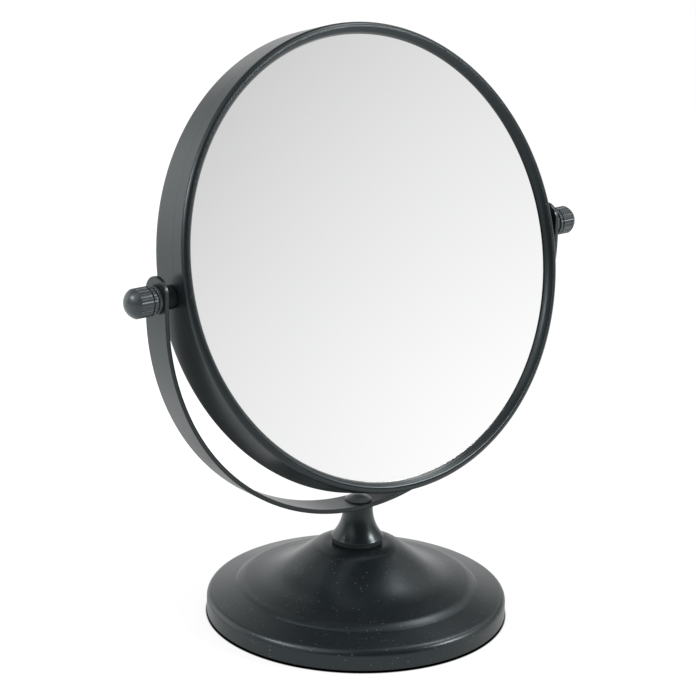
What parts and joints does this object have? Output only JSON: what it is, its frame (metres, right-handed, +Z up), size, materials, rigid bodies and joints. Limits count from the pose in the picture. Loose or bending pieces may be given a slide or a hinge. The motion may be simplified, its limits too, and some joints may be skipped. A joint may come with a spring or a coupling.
{
  "type": "magnifying makeup mirror",
  "caption": "Free-standing round two-sided vanity mirror, flat on one face and magnifying on the other, tilting between knurled clamp knobs in a strip yoke on a weighted bell base.",
  "frame": {"origin": "middle of the base's underside, on the table", "axes": "+Z up, the flat mirror faces -Y, and +X runs along the tilt axis to the right of someone who looks into it"},
  "size_m": [0.2468, 0.135, 0.2655],
  "materials": {
    "black_paint": "satin black powder coat",
    "black_lacquer": "glossy black lacquer",
    "plain_steel": "plain zinc-plated steel",
    "iron": "as cast",
    "soft_black": "soft matt foam",
    "black_nylon": "matt moulded",
    "fibre_board": "pressed fibre board",
    "mirror_glass": "silvered glass"
  },
  "bodies": {
    "stand": {"base_shell": "black_paint", "base_weight": "iron", "base_plate": "plain_steel", "base_pad": "soft_black", "neck": "black_paint", "neck_washer": "soft_black", "yoke": "black_paint", "yoke_bolt": "black_lacquer", "flat_washer": "plain_steel", "lock_washer": "plain_steel", "clamp_nut": "plain_steel"},
    "head": {"head_shell": "black_paint", "front_bezel": "black_paint", "front_mirror": "mirror_glass", "front_seal": "soft_black", "backing_board": "fibre_board", "spacer_ring": "black_nylon", "rear_mirror": "mirror_glass", "rear_seal": "soft_black", "left_pivot_stud": "plain_steel", "right_pivot_stud": "plain_steel", "left_pivot_bush": "black_nylon", "right_pivot_bush": "black_nylon", "left_friction_washer": "black_nylon", "right_friction_washer": "black_nylon"},
    "left_washer": {"left_knob_washer": "black_lacquer"},
    "left_nut": {"left_knob": "black_lacquer"},
    "right_washer": {"right_knob_washer": "black_lacquer"},
    "right_nut": {"right_knob": "black_lacquer"}
  },
  "joints": [
    {"name": "head_tilt", "type": "hinge", "parent": "stand", "child": "head", "pos_m": [0, 0, 0.165], "axis": [1, 0, 0], "continuous": true},
    {"name": "left_knob_travel", "type": "slide", "parent": "head", "child": "left_washer", "axis": [-1, 0, 0], "range_m": [0, 0.0016]},
    {"name": "left_knob_turn", "type": "hinge", "parent": "left_washer", "child": "left_nut", "pos_m": [-0.1106, 0, 0.165], "axis": [-1, 0, 0], "range_deg": [0, 720]},
    {"name": "right_knob_travel", "type": "slide", "parent": "head", "child": "right_washer", "axis": [1, 0, 0], "range_m": [0, 0.0016]},
    {"name": "right_knob_turn", "type": "hinge", "parent": "right_washer", "child": "right_nut", "pos_m": [0.1106, 0, 0.165], "axis": [1, 0, 0], "range_deg": [0, 720]}
  ],
  "couplings": [
    {"joint": "left_knob_travel", "follows": "left_knob_turn", "m_per_rad": 0.00012732},
    {"joint": "right_knob_travel", "follows": "right_knob_turn", "m_per_rad": 0.00012732}
  ]
}
